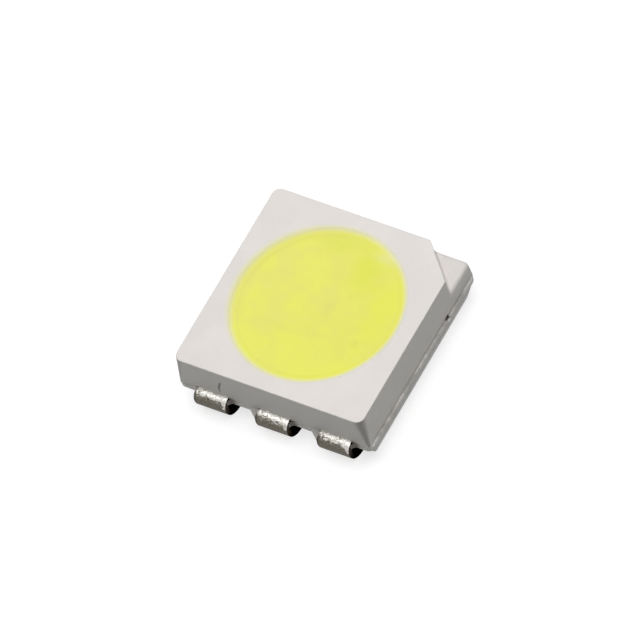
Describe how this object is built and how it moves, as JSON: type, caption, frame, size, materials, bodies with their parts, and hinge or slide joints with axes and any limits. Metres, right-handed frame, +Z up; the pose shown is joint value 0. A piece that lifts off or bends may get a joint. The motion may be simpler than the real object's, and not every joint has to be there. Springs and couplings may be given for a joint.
{
  "type": "smd led",
  "caption": "Square white surface-mount LED with a round yellow phosphor window, a cut corner and rows of flat leads folded under two sides.",
  "frame": {"origin": "on the board plane, under the middle of the square body", "axes": "+Z up out of the board; the lead rows face -Y and +Y; the cut corner that marks pin 1 is at +X +Y"},
  "size_m": [0.005, 0.0054, 0.0016],
  "materials": {
    "white_moulding": "satin",
    "phosphor_silicone": "satin",
    "silver_plated_strip": "satin",
    "die_crystal": "gloss",
    "die_adhesive": "satin",
    "gold_wire": "gloss"
  },
  "bodies": {
    "root": {"bond_wire_left_across": "gold_wire", "bond_wire_left_own": "gold_wire", "bond_wire_middle_across": "gold_wire", "bond_wire_middle_own": "gold_wire", "bond_wire_right_across": "gold_wire", "bond_wire_right_own": "gold_wire", "die_attach_left": "die_adhesive", "die_attach_middle": "die_adhesive", "die_attach_right": "die_adhesive", "encapsulant": "phosphor_silicone", "housing": "white_moulding", "lead_back_left": "silver_plated_strip", "lead_back_middle": "silver_plated_strip", "lead_back_right": "silver_plated_strip", "lead_front_left": "silver_plated_strip", "lead_front_middle": "silver_plated_strip", "lead_front_right": "silver_plated_strip", "led_die_left": "die_crystal", "led_die_middle": "die_crystal", "led_die_right": "die_crystal"}
  },
  "joints": []
}
